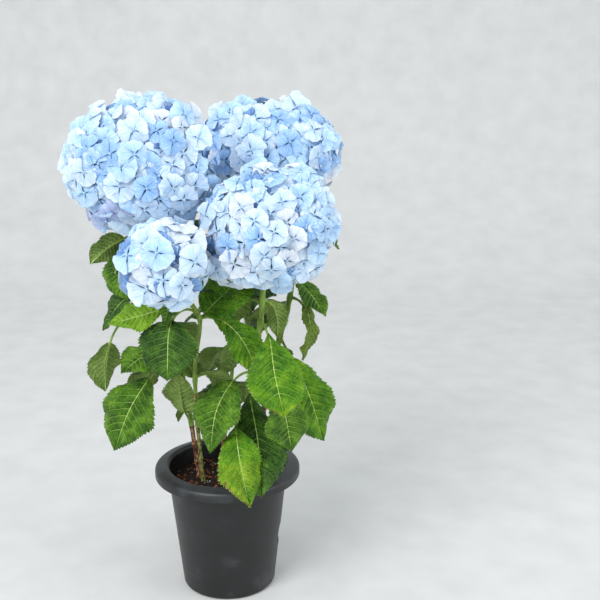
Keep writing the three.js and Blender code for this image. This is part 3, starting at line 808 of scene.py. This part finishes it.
leaf_materials, tint_of = [], {}
for name, (codes, vein_code) in TINTS.items():
    # A live leaf is satin: a waxy skin over soft tissue, puckered between a net of the finest veins
    blade, tree, shader = new_material(f"waxy_leaf_{name}", roughness=0.42, ior=1.44, specular_ior_level=0.3)
    spot = add_node(tree, "ShaderNodeTexCoord")
    cells = {"Vector": spot.outputs["Object"], "Scale": 1 / (NET * MM)}
    cells = add_node(tree, "ShaderNodeTexVoronoi", cells, feature="DISTANCE_TO_EDGE")
    net = add_node(tree, "ShaderNodeMath", {0: cells, 1: 4.0}, operation="MULTIPLY", use_clamp=True)
    patches = {0: grain(tree, PATCH, 5), 1: 0.95, 2: 0.03}
    greens = {0: net, 1: -0.14, 2: add_node(tree, "ShaderNodeMath", patches, operation="MULTIPLY_ADD")}
    mottle(tree, shader, add_node(tree, "ShaderNodeMath", greens, operation="MULTIPLY_ADD"), codes, 0.24)
    rough_up(tree, shader, net, 0.9)
    # A vein is smoother, paler and waxier than the blade
    vein = grained_material(
        f"smooth_vein_{name}", [codes[-1], vein_code, vein_code], 0.3, (6, 3), (1.2, 2), 0.15,
        roughness=0.4, ior=1.42,
    )
    tint_of[name] = len(leaf_materials)
    leaf_materials += [blade, vein]
# The midrib is the palest part, a smooth juicy cord sunk in the blade
leaf_materials.append(grained_material(
    "smooth_midrib", ["#8fae52", "#a9c468", "#bcd27e"], 0.25, (5, 3), (1.2, 2), 0.12, roughness=0.4, ior=1.42,
))


def blade_shape(t, widest):
    """The blade's half width along it, as a share of its widest: a rounded base and a short drawn-out tip."""
    return np.sin(math.pi * np.clip(t, 0, 1) ** (math.log(0.5) / math.log(widest))) ** (0.6 + 0.5 * t ** 3)


def blade_rows():
    """The rows across a blade: where each starts on the midrib, its phase between veins, and whether a vein
    fills the strip up to the next row."""
    roots = BLADE["first"] + BLADE["span"] * np.arange(BLADE["veins"]) / BLADE["veins"]
    stops = [BLADE["ends"][0], *roots, BLADE["ends"][1]]
    counts = [BLADE["before"], *[BLADE["between"]] * (BLADE["veins"] - 1), BLADE["beyond"]]
    rows = [(stops[0], 0.5, False)]
    for low, high, count in zip(stops, stops[1:], counts):
        rows += [(low + (high - low) * j / (count + 1), j / (count + 1), False) for j in range(1, count + 1)]
        rows += [(high, 0, True), (high, 0, False)]
    return rows[:-2] + [(stops[-1], 0.5, False)]


def blade_mesh(one, random):
    """A blade's points, faces and face tints. Its rows run along the side veins. Each row is a ring that goes
    over the upper face from one edge to the other and back under the lower face."""
    rows, columns = blade_rows(), BLADE["columns"]
    length, broad = one["length"], one["length"] * one["width"] / 2
    count = 2 * len(columns) + 3
    ring, rib_tint = 2 * count - 2, len(leaf_materials) - 1
    phases = random.uniform(0, 2 * math.pi, 4)
    twist = math.radians(BLADE["twist"]) * random.uniform(-1, 1)
    bow = BLADE["bow"] * length * random.uniform(-1, 1)
    points = []
    for number, (root, phase, is_vein) in enumerate(rows):
        vein_side = 0 if phase else (-0.5 if is_vein else 0.5)
        half_width = broad * float(blade_shape(root, one["widest"]))
        rib = BLADE["midrib"] * (1 - BLADE["midrib_taper"] * root) / max(half_width, 1)
        rib = min(rib, BLADE["midrib_most"])
        s = np.array([*columns, rib, 0, -rib, *[-c for c in reversed(columns)]])
        size = np.abs(s)
        tooth = (1 if number % 2 else -1) * BLADE["tooth"] / 2 * (size == 1)
        tooth = tooth * min(1, root / BLADE["teeth_grow"]) * min(1, (1 - root) / BLADE["teeth_fade"])
        thin = vein_side * BLADE["vein"] / length * (1 - BLADE["vein_taper"] * size)
        sweep = BLADE["sweep"] * (1 - (1 - root) ** 5) * (1 - root ** 3)
        t = root + thin + sweep * size ** BLADE["sweep_bend"] + np.maximum(tooth, 0) / length
        t = np.clip(t, *BLADE["reach"])
        sides = np.where(s > 0, phases[0], phases[1])
        uneven = np.sin(2 * math.pi * BLADE["uneven_waves"] * t + sides)
        uneven = 1 + BLADE["uneven"] * uneven * size
        reach = broad * blade_shape(t, one["widest"]) * uneven
        spine, side, up = one["walk"](one["stalk"] + length * t)
        lean = (twist * t)[:, None]
        side, up = side * np.cos(lean) + up * np.sin(lean), up * np.cos(lean) - side * np.sin(lean)
        spine = spine + side * (bow * np.sin(math.pi * t) ** 2)[:, None]
        swell = BLADE["quilt"] * length * math.sin(math.pi * phase) ** 0.7 * (4 * size * (1 - size)) ** 0.6
        groove = -BLADE["groove"] * np.clip(1 - size / columns[-1], 0, 1)
        middle = np.sin(math.pi * t)
        wave = np.sin(2 * math.pi * BLADE["waves"] * t + sides + 1)
        wave = BLADE["wave"] * length * wave * size ** 1.6 * middle
        ripple = np.sin(2 * math.pi * BLADE["ripples"] * t + 2 * sides)
        wave += BLADE["wave"] * BLADE["ripple"] * length * ripple * size ** 2 * middle
        lift = BLADE["fold"] * size * reach - BLADE["droop"] * reach * size ** 3 + swell + groove + wave
        surface = spine + side * (s * reach + np.sign(s) * tooth)[:, None] + up * lift[:, None]
        half = up * BLADE["thickness"] / 2
        points += [surface + half * (size < 1)[:, None], (surface - half)[1:-1][::-1]]
    tints, main = [], tint_of[one["tint"]]
    for root, _, is_vein in rows[:-1]:
        for i in range(ring):
            k = min(i, ring - 1 - i)
            on_rib = len(columns) <= k <= len(columns) + 1
            on_edge = k < 1 or k > count - 3
            yellow = root + YELLOW["edge"] * abs(2 * k / (count - 2) - 1) > one["turned"]
            spotted = yellow and k > count - 4 and YELLOW["spots"][0] < root < YELLOW["spots"][1]
            spotted = spotted and random.random() < YELLOW["spot_share"]
            tint = tint_of["spot"] if spotted else tint_of["turning"] if yellow else main
            tint = tint if i < count - 1 else tint_of["under"]
            tint = tint + 1 if is_vein and not on_edge else tint
            tints.append(rib_tint if on_rib else tint)
    return np.concatenate(points), tube(0, ring, len(rows)), tints + [main, main]


for number, shoot in enumerate(SHOOTS):
    random = np.random.default_rng(LEAF_SEED + number)
    points, faces, tints = [], [], []
    for one in shoot["leaves"]:
        more_points, more_faces, more_tints = blade_mesh(one, random)
        faces += [tuple(len(points) + i for i in face) for face in more_faces]
        points += more_points.tolist()
        tints += more_tints
    piece = mesh_piece("leaves_" + shoot["name"], points, faces, leaf_materials, tints, BLADE["crisp"])
    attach(piece, "root")
    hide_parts("shoot_" + shoot["name"])


# Flower stalks: inside each head the stem divides into branches, and each of those into a fine stalk to every
# floret. They are pale green, round and smooth, and show only where florets part.
SPRAY = {"branches": 14, "reach": 0.8, "split": 0.52, "neck": 14, "rise": 0.55, "lean": 0.18, "bow": 0.6,
         "under": 0.4, "sides": 6, "step": 5, "relief": 0, "ridge": 500.0}
# Each kind of limb in a head, by its radius at its start and end and how many points it has
TRUNK, BRANCH, TWIG = (2.6, 2.34, 5), (1.95, 0.9, 9), (0.75, 0.55, 6)
# How far round a head its florets stand, in degrees, and how unevenly they stand and face
HEAD = {"spread": 147, "lump": 0.05, "inset": 3.5, "stagger": 11, "tilt": 0.5, "inner": 0.88, "clear": 7,
        "bulge_edge": 5, "lean": 0.55}


def unit(vector):
    """A vector of length 1 that points the same way."""
    return np.asarray(vector, float) / np.linalg.norm(vector)


def lattice(count, spread, seed, axis):
    """Even directions over a ball's cap, turned so that its middle faces along an axis."""
    number = np.arange(count)
    rise = 1 - (1 - math.cos(math.radians(spread))) * (number + 0.5) / count
    golden = math.pi * (3 - math.sqrt(5))
    across, angle = np.sqrt(1 - rise ** 2), number * golden + seed
    turn = Vector((0, 0, 1)).rotation_difference(Vector(axis)).to_matrix()
    return np.column_stack([across * np.cos(angle), across * np.sin(angle), rise]) @ np.array(turn).T


def head_florets(shoot, others):
    """A head's axis, centre and size, and where its florets stand: their points, the ways they face, and
    whether each is of the inner layer. The front ones lean to the light. Places pressed against another head
    are left empty."""
    bloom = shoot["bloom"]
    centre, size, seed = np.array(bloom["centre"], float), np.array(bloom["size"], float), bloom["seed"]
    random = np.random.default_rng(seed)
    axis = unit(centre - point_at(shoot, shoot["end"]))
    florets = []
    layers = ((bloom["florets"], 1.0, False), (bloom["florets"] * 3 // 5, HEAD["inner"], True))
    for count, depth, inner in layers:
        for way in lattice(count, HEAD["spread"], seed + inner, axis):
            lump = 1 + HEAD["lump"] * math.sin(5 * way[0] + seed) * math.cos(4 * way[1] - seed)
            lump += sum(by * max(0, way @ unit(out)) ** HEAD["bulge_edge"] for out, by in shoot["bulges"])
            inset = HEAD["inset"] + HEAD["stagger"] * random.random()
            point = centre + way * (size * lump * depth - inset)
            forward = np.array([0, HEAD["lean"] * (way[1] - 1) / 2, 0])
            outward = unit(unit(way / size) + random.uniform(-1, 1, 3) * HEAD["tilt"] + forward)
            away = [(point - other["centre"]) / (np.array(other["size"]) + HEAD["clear"]) for other in others]
            if all(np.linalg.norm(offset) > 1 for offset in away):
                florets.append((point, outward, inner))
    return axis, centre, size, florets


def bent_limb(start, middle, end, girth):
    """A limb that leaves its start towards a middle point and reaches its end from there."""
    share = np.linspace(0, 1, girth[2])[:, None]
    path = start * (1 - share) ** 2 + middle * 2 * share * (1 - share) + end * share ** 2
    return path, np.linspace(*girth)


# Flower stalks are smooth, pale and juicy, and take the blue of the florets around them
flower_stalk = grained_material(
    "smooth_flower_stalk", ["#6f9a6a", "#93b98f", "#a9c7c4"], 0.2, (8, 3), (1.4, 2), 0.08,
    roughness=0.5, ior=1.4,
)

heads = [shoot for shoot in SHOOTS if "bloom" in shoot]
for shoot in heads:
    others = [other["bloom"] for other in heads if other is not shoot]
    axis, centre, size, shoot["florets"] = head_florets(shoot, others)
    end = point_at(shoot, shoot["end"] - 2)
    fork = end + axis * SPRAY["neck"]
    limbs = [(np.linspace(end, fork, TRUNK[2]), np.linspace(*TRUNK))]
    ways = lattice(SPRAY["branches"], HEAD["spread"] * SPRAY["reach"], shoot["bloom"]["seed"], axis)
    forks = centre + ways * size * SPRAY["split"]
    for tip in forks:
        middle = fork + axis * np.dot(tip - fork, axis) * SPRAY["rise"] + (tip - fork) * SPRAY["lean"]
        limbs.append(bent_limb(fork, middle, tip, BRANCH))
    for point, outward, inner in shoot["florets"]:
        tip = forks[np.argmax(ways @ unit((point - centre) / size))]
        middle = point - outward * np.linalg.norm(point - tip) * SPRAY["bow"]
        limbs.append(bent_limb(tip, middle, point - outward * SPRAY["under"], TWIG))
    piece = limb_piece("sprays_" + shoot["name"], limbs, SPRAY, flower_stalk)
    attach(piece, "root")
    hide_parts("bloom_" + shoot["name"])


# Florets: each is four broad papery sepals round a small round bud, opposite pairs lying one over the other.
# They are cold pale blue and palest towards the tips. The darker blue towards the foot is painted shade where
# the sepals meet, and fine veins fan out from a narrow foot.
# A sepal's rows are how far out each is and its half width. The last two lines are ranges for chance to use
SEPAL = {
    "rows": ((0.04, 0.03), (0.22, 0.15), (0.43, 0.48), (0.7, 0.69), (0.92, 0.54), (1.0, 0.24)),
    "columns": (-1, -0.5, 0, 0.5, 1),
    "cup": 0.12, "over": 0.045, "back": 0.19, "ruffle": 0.11, "tip": 0.1, "thick": 0.03, "crisp": 75,
    "cups": (-0.3, 1), "turns": (-0.13, 0.13), "lengths": (0.86, 1.06), "widths": (0.9, 1.12),
    "waves": (0.4, 1), "phases": (0, 6.3), "backs": (0.2, 1.5),
}
BUD = {"radius": 0.085, "rise": 0.09}
FLORET_SHAPES = 6
# The tints that florets have, from the palest young ones to the last, whose darker blue is painted shade for
# the florets under the others
SEPAL_TINTS = {
    "pale": ["#a8cff5", "#c8e2fb", "#e6f3fe"],
    "sky": ["#90c0f2", "#b0d5fa", "#d2e9fd"],
    "blue": ["#78a8e6", "#96c0f4", "#b9d8fb"],
    "lilac": ["#a0b6f2", "#b9caf9", "#d7e2fd"],
    "white": ["#bfd4ee", "#d9e6f6", "#eff5fc"],
    "deep": ["#466ba8", "#648cc4", "#8fb2e0"],
}
# The share of each tint in each head, in the same order. Some of those that face the flush's way are lilac
SHARES = {
    "left": (0.34, 0.4, 0.18, 0, 0.08, 0),
    "front": (0.5, 0.1, 0.02, 0, 0.38, 0),
    "right": (0.4, 0.28, 0.12, 0, 0.2, 0),
    "rear": (0.38, 0.4, 0.16, 0, 0.06, 0),
}
FLUSH = {"head": "left", "way": (-0.5, -0.55, -0.67), "within": 0.82, "share": 0.5}

sepal_materials = []
for name, codes in SEPAL_TINTS.items():
    # A sepal is thin, matt and papery, and lets some light through. Its veins run out from its foot
    material, tree, shader = new_material(
        f"papery_sepal_{name}", roughness=0.62, ior=1.38, subsurface_weight=0.28,
        subsurface_radius=(0.8, 0.9, 1.0), subsurface_scale=3 * MM,
    )
    flat = add_node(tree, "ShaderNodeUVMap", uv_map="sepal")
    spot = add_node(tree, "ShaderNodeTexCoord")
    far = {0: spot.outputs["Object"], 1: (40, 40, 40)}
    fan = {0: flat, 1: (16, 1.4, 0), 2: add_node(tree, "ShaderNodeVectorMath", far, operation="MULTIPLY")}
    fan = add_node(tree, "ShaderNodeVectorMath", fan, operation="MULTIPLY_ADD")
    veins = add_node(tree, "ShaderNodeTexNoise", {"Vector": fan, "Scale": 1.0, "Detail": 2.0})
    along = add_node(tree, "ShaderNodeSeparateXYZ", {"Vector": flat})
    # Painted shade: the colour deepens to a darker blue towards the sepal's foot, where the sepals meet
    paler = {0: along.outputs["Y"], 1: 0.32, 2: -0.16}
    shade = {0: veins, 1: add_node(tree, "ShaderNodeMath", paler, operation="MULTIPLY_ADD")}
    mottle(tree, shader, add_node(tree, "ShaderNodeMath", shade, operation="ADD"), codes, 0.26)
    rough_up(tree, shader, veins, 0.35)
    sepal_materials.append(material)
# The bud in the middle is a waxy bead, blue with a green cast
bud_skin = grained_material(
    "waxy_flower_bud", ["#7fa6c9", "#a9c9e0", "#cfe3e6"], 0.2, (2, 2), (0.8, 2), 0.1, roughness=0.4, ior=1.42,
)


def floret_shape(name, seed):
    """One floret of unit reach: its sepals are closed lenses, and its bud is a ball of 20 faces."""
    random = np.random.default_rng(seed)
    rows, wide = SEPAL["rows"], len(SEPAL["columns"]) + 1
    points, faces, uvs = [], [], []
    cup = SEPAL["cup"] * random.uniform(*SEPAL["cups"])
    for number in range(4):
        first, turn = len(points), math.pi / 2 * number + random.uniform(*SEPAL["turns"])
        grown, broad = random.uniform(*SEPAL["lengths"]), random.uniform(*SEPAL["widths"])
        waves, phase = SEPAL["ruffle"] * random.uniform(*SEPAL["waves"]), random.uniform(*SEPAL["phases"])
        back = SEPAL["back"] * random.uniform(*SEPAL["backs"])
        over = SEPAL["over"] * (number % 2)
        for k, (r, w) in enumerate(rows):
            for column in (*SEPAL["columns"], None):
                side = column or 0
                out = r * grown - SEPAL["tip"] * side * side * (k / (len(rows) - 1)) ** 2
                z = cup * side * side * math.sin(math.pi * min(r, 0.9)) - back * r * r + over * min(r * 3, 1)
                z += waves * abs(side) * r * math.sin(6 * r + 2.5 * side + phase)
                z -= SEPAL["thick"] if column is None else 0
                points.append((*turned(out, w * side * broad * grown, turn), z))
                uvs.append((side / 2 + 0.5, r))
        last = first + (len(rows) - 1) * wide
        for low in range(first, last, wide):
            high = low + wide
            faces += [(low + i, high + i, high + i + 1, low + i + 1) for i in range(wide - 2)]
            faces.append((low, low + wide - 1, high + wide - 1, high))
            faces.append((low + wide - 1, low + wide - 2, high + wide - 2, high + wide - 1))
        faces.append(tuple(range(first, first + wide)))
        faces.append(tuple(range(last + wide - 1, last - 1, -1)))
    first, ball, corners = len(points), BUD["radius"], ball_corners()
    points += [(x * ball, y * ball, z * ball + BUD["rise"]) for x, y, z in corners]
    uvs += [(0.5, 0.5)] * len(corners)
    faces += [tuple(first + i for i in face) for face in ball_faces(corners)]
    shape = mesh_piece(name, points, faces, [], crisp=SEPAL["crisp"])
    layer = shape.data.uv_layers.new(name="sepal")
    order = np.zeros(len(shape.data.loops), np.int32)
    shape.data.loops.foreach_get("vertex_index", order)
    layer.uv.foreach_set("vector", np.array(uvs, np.float32)[order].ravel())
    bud = shape.data.attributes.new("bud", "BOOLEAN", "FACE")
    bud.data.foreach_set("value", [face[0] >= first for face in faces])
    return shape


def blossom_tree(shapes):
    """A tree that sets a floret on each point, by the point's own facing, spin, reach, shape and tint."""
    tree, given = new_tree("Blossom", {})
    kinds = {"facing": "FLOAT_VECTOR", "spin": "FLOAT", "reach": "FLOAT", "shape": "INT", "tint": "INT",
             "bud": "BOOLEAN"}
    read = {
        name: add_node(tree, "GeometryNodeInputNamedAttribute", {"Name": name}, data_type=kind)
        for name, kind in kinds.items()
    }
    spin = {"Axis": (0, 0, 1), "Angle": read["spin"]}
    rotation = {
        "Rotation": add_node(tree, "FunctionNodeAlignRotationToVector", {"Vector": read["facing"]}, axis="Z"),
        "Rotate By": add_node(tree, "FunctionNodeAxisAngleToRotation", spin),
    }
    placed = add_node(tree, "GeometryNodeInstanceOnPoints", {
        "Points": given["Geometry"],
        "Instance": choice_of(tree, reversed(shapes)),
        "Pick Instance": True,
        "Instance Index": read["shape"],
        "Rotation": add_node(tree, "FunctionNodeRotateRotation", rotation, rotation_space="LOCAL"),
        "Scale": read["reach"],
    })
    made = add_node(tree, "GeometryNodeRealizeInstances", {"Geometry": placed})
    for number, material in enumerate(sepal_materials):
        same = {2: read["tint"], 3: number}
        same = add_node(tree, "FunctionNodeCompare", same, data_type="INT", operation="EQUAL")
        painted = {"Geometry": made, "Selection": same, "Material": material}
        made = add_node(tree, "GeometryNodeSetMaterial", painted)
    painted = {"Geometry": made, "Selection": read["bud"], "Material": bud_skin}
    add_node(tree, "NodeGroupOutput", {"Geometry": add_node(tree, "GeometryNodeSetMaterial", painted)})
    return tree


floret_shapes = [floret_shape(f"floret_{i}", FLORET_SEED + i) for i in range(FLORET_SHAPES)]
floret_tree = blossom_tree(floret_shapes)
deep, lilac = (list(SEPAL_TINTS).index(name) for name in ("deep", "lilac"))
for shoot in heads:
    bloom, florets = shoot["bloom"], shoot["florets"]
    random = np.random.default_rng(bloom["seed"] + 1)
    shares = SHARES[shoot["name"]]
    # Every floret of the inner layer takes the last tint, which is painted shade
    tints = [deep if inner else random.choice(len(shares), p=shares) for _, _, inner in florets]
    for number, (point, _, inner) in enumerate(florets):
        facing = unit((point - bloom["centre"]) / bloom["size"]) @ unit(FLUSH["way"])
        if shoot["name"] == FLUSH["head"] and not inner and facing > FLUSH["within"]:
            tints[number] = lilac if random.random() < FLUSH["share"] else tints[number]
    mesh = new_mesh("florets_" + shoot["name"], [point for point, _, _ in florets], [], [])
    facings = np.array([outward for _, outward, _ in florets], np.float32).ravel()
    values = {
        "facing": ("FLOAT_VECTOR", "vector", facings),
        "spin": ("FLOAT", "value", random.uniform(0, 2 * math.pi, len(florets))),
        "reach": ("FLOAT", "value", bloom["floret"] * random.uniform(0.86, 1.1, len(florets))),
        "shape": ("INT", "value", random.integers(0, FLORET_SHAPES, len(florets))),
        "tint": ("INT", "value", tints),
    }
    for name, (kind, key, numbers) in values.items():
        mesh.attributes.new(name, kind, "POINT").data.foreach_set(key, numbers)
    piece = in_scene("florets_" + shoot["name"], mesh)
    grow(piece, floret_tree)
    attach(piece, "root")
    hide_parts("bloom_" + shoot["name"])
for shape in floret_shapes:
    bpy.data.objects.remove(shape)


# Studio: a pale matt paper sweep under and behind the plant, a soft key light from the upper left and a weak
# fill from the right. Its places and lengths are in metres.
SWEEP = {"front": -2.4, "bend": 1.3, "radius": 0.9, "height": 2.6, "half_width": 3.2, "steps": 17}
# Where each light stands, how wide it is and its power. They point at a height on the plant
LIGHTS = {
    "key": ((-1.0, -1.7, 2.1), 1.3, 45),
    "fill": ((1.9, -0.9, 1.1), 1.6, 14),
}
AIM = Vector((0, 0, 0.35))
ROOM = {"Color": (0.9, 0.95, 1.0, 1.0), "Strength": 0.86}
CAMERA = {"place": (0.0906, -1.187, 0.682), "tilt": 90 - 14.8, "lens": 61.5, "sensor": 36}

# Background paper is matt, with a faint fibrous grain
paper = grained_material(
    "matt_paper_sweep", ["#cfcfcd", "#d6d6d4", "#dcdcda"], 0.3, (60, 4), (3, 4), 0.05,
    roughness=0.9, ior=1.45,
)

bends = np.radians(np.linspace(0, 90, SWEEP["steps"]))
run = [(SWEEP["front"], 0.0)]
run += [(SWEEP["bend"] + SWEEP["radius"] * math.sin(a), SWEEP["radius"] * (1 - math.cos(a))) for a in bends]
run.append((SWEEP["bend"] + SWEEP["radius"], SWEEP["height"]))
points = [(x * SWEEP["half_width"] / MM, y / MM, z / MM) for y, z in run for x in (-1, 1)]
faces = [(2 * i, 2 * i + 1, 2 * i + 3, 2 * i + 2) for i in range(len(run) - 1)]
mesh_piece("paper_sweep", points, faces, [paper])

world = bpy.data.worlds.new("soft_room")
world.use_nodes = True
for key, value in ROOM.items():
    world.node_tree.nodes["Background"].inputs[key].default_value = value
bpy.context.scene.world = world
for name, (place, size, power) in LIGHTS.items():
    lamp = bpy.data.lights.new(name, "AREA")
    lamp.size, lamp.energy = size, power
    holder = in_scene(name, lamp)
    holder.location = place
    holder.rotation_euler = (AIM - Vector(place)).to_track_quat("-Z", "Y").to_euler()

camera = bpy.data.cameras.new("camera")
camera.sensor_width, camera.lens = CAMERA["sensor"], CAMERA["lens"]
holder = in_scene("camera", camera)
holder.location = CAMERA["place"]
holder.rotation_euler = (math.radians(CAMERA["tilt"]), 0, 0)
bpy.context.scene.camera = holder
bpy.context.scene.view_settings.view_transform = "Standard"
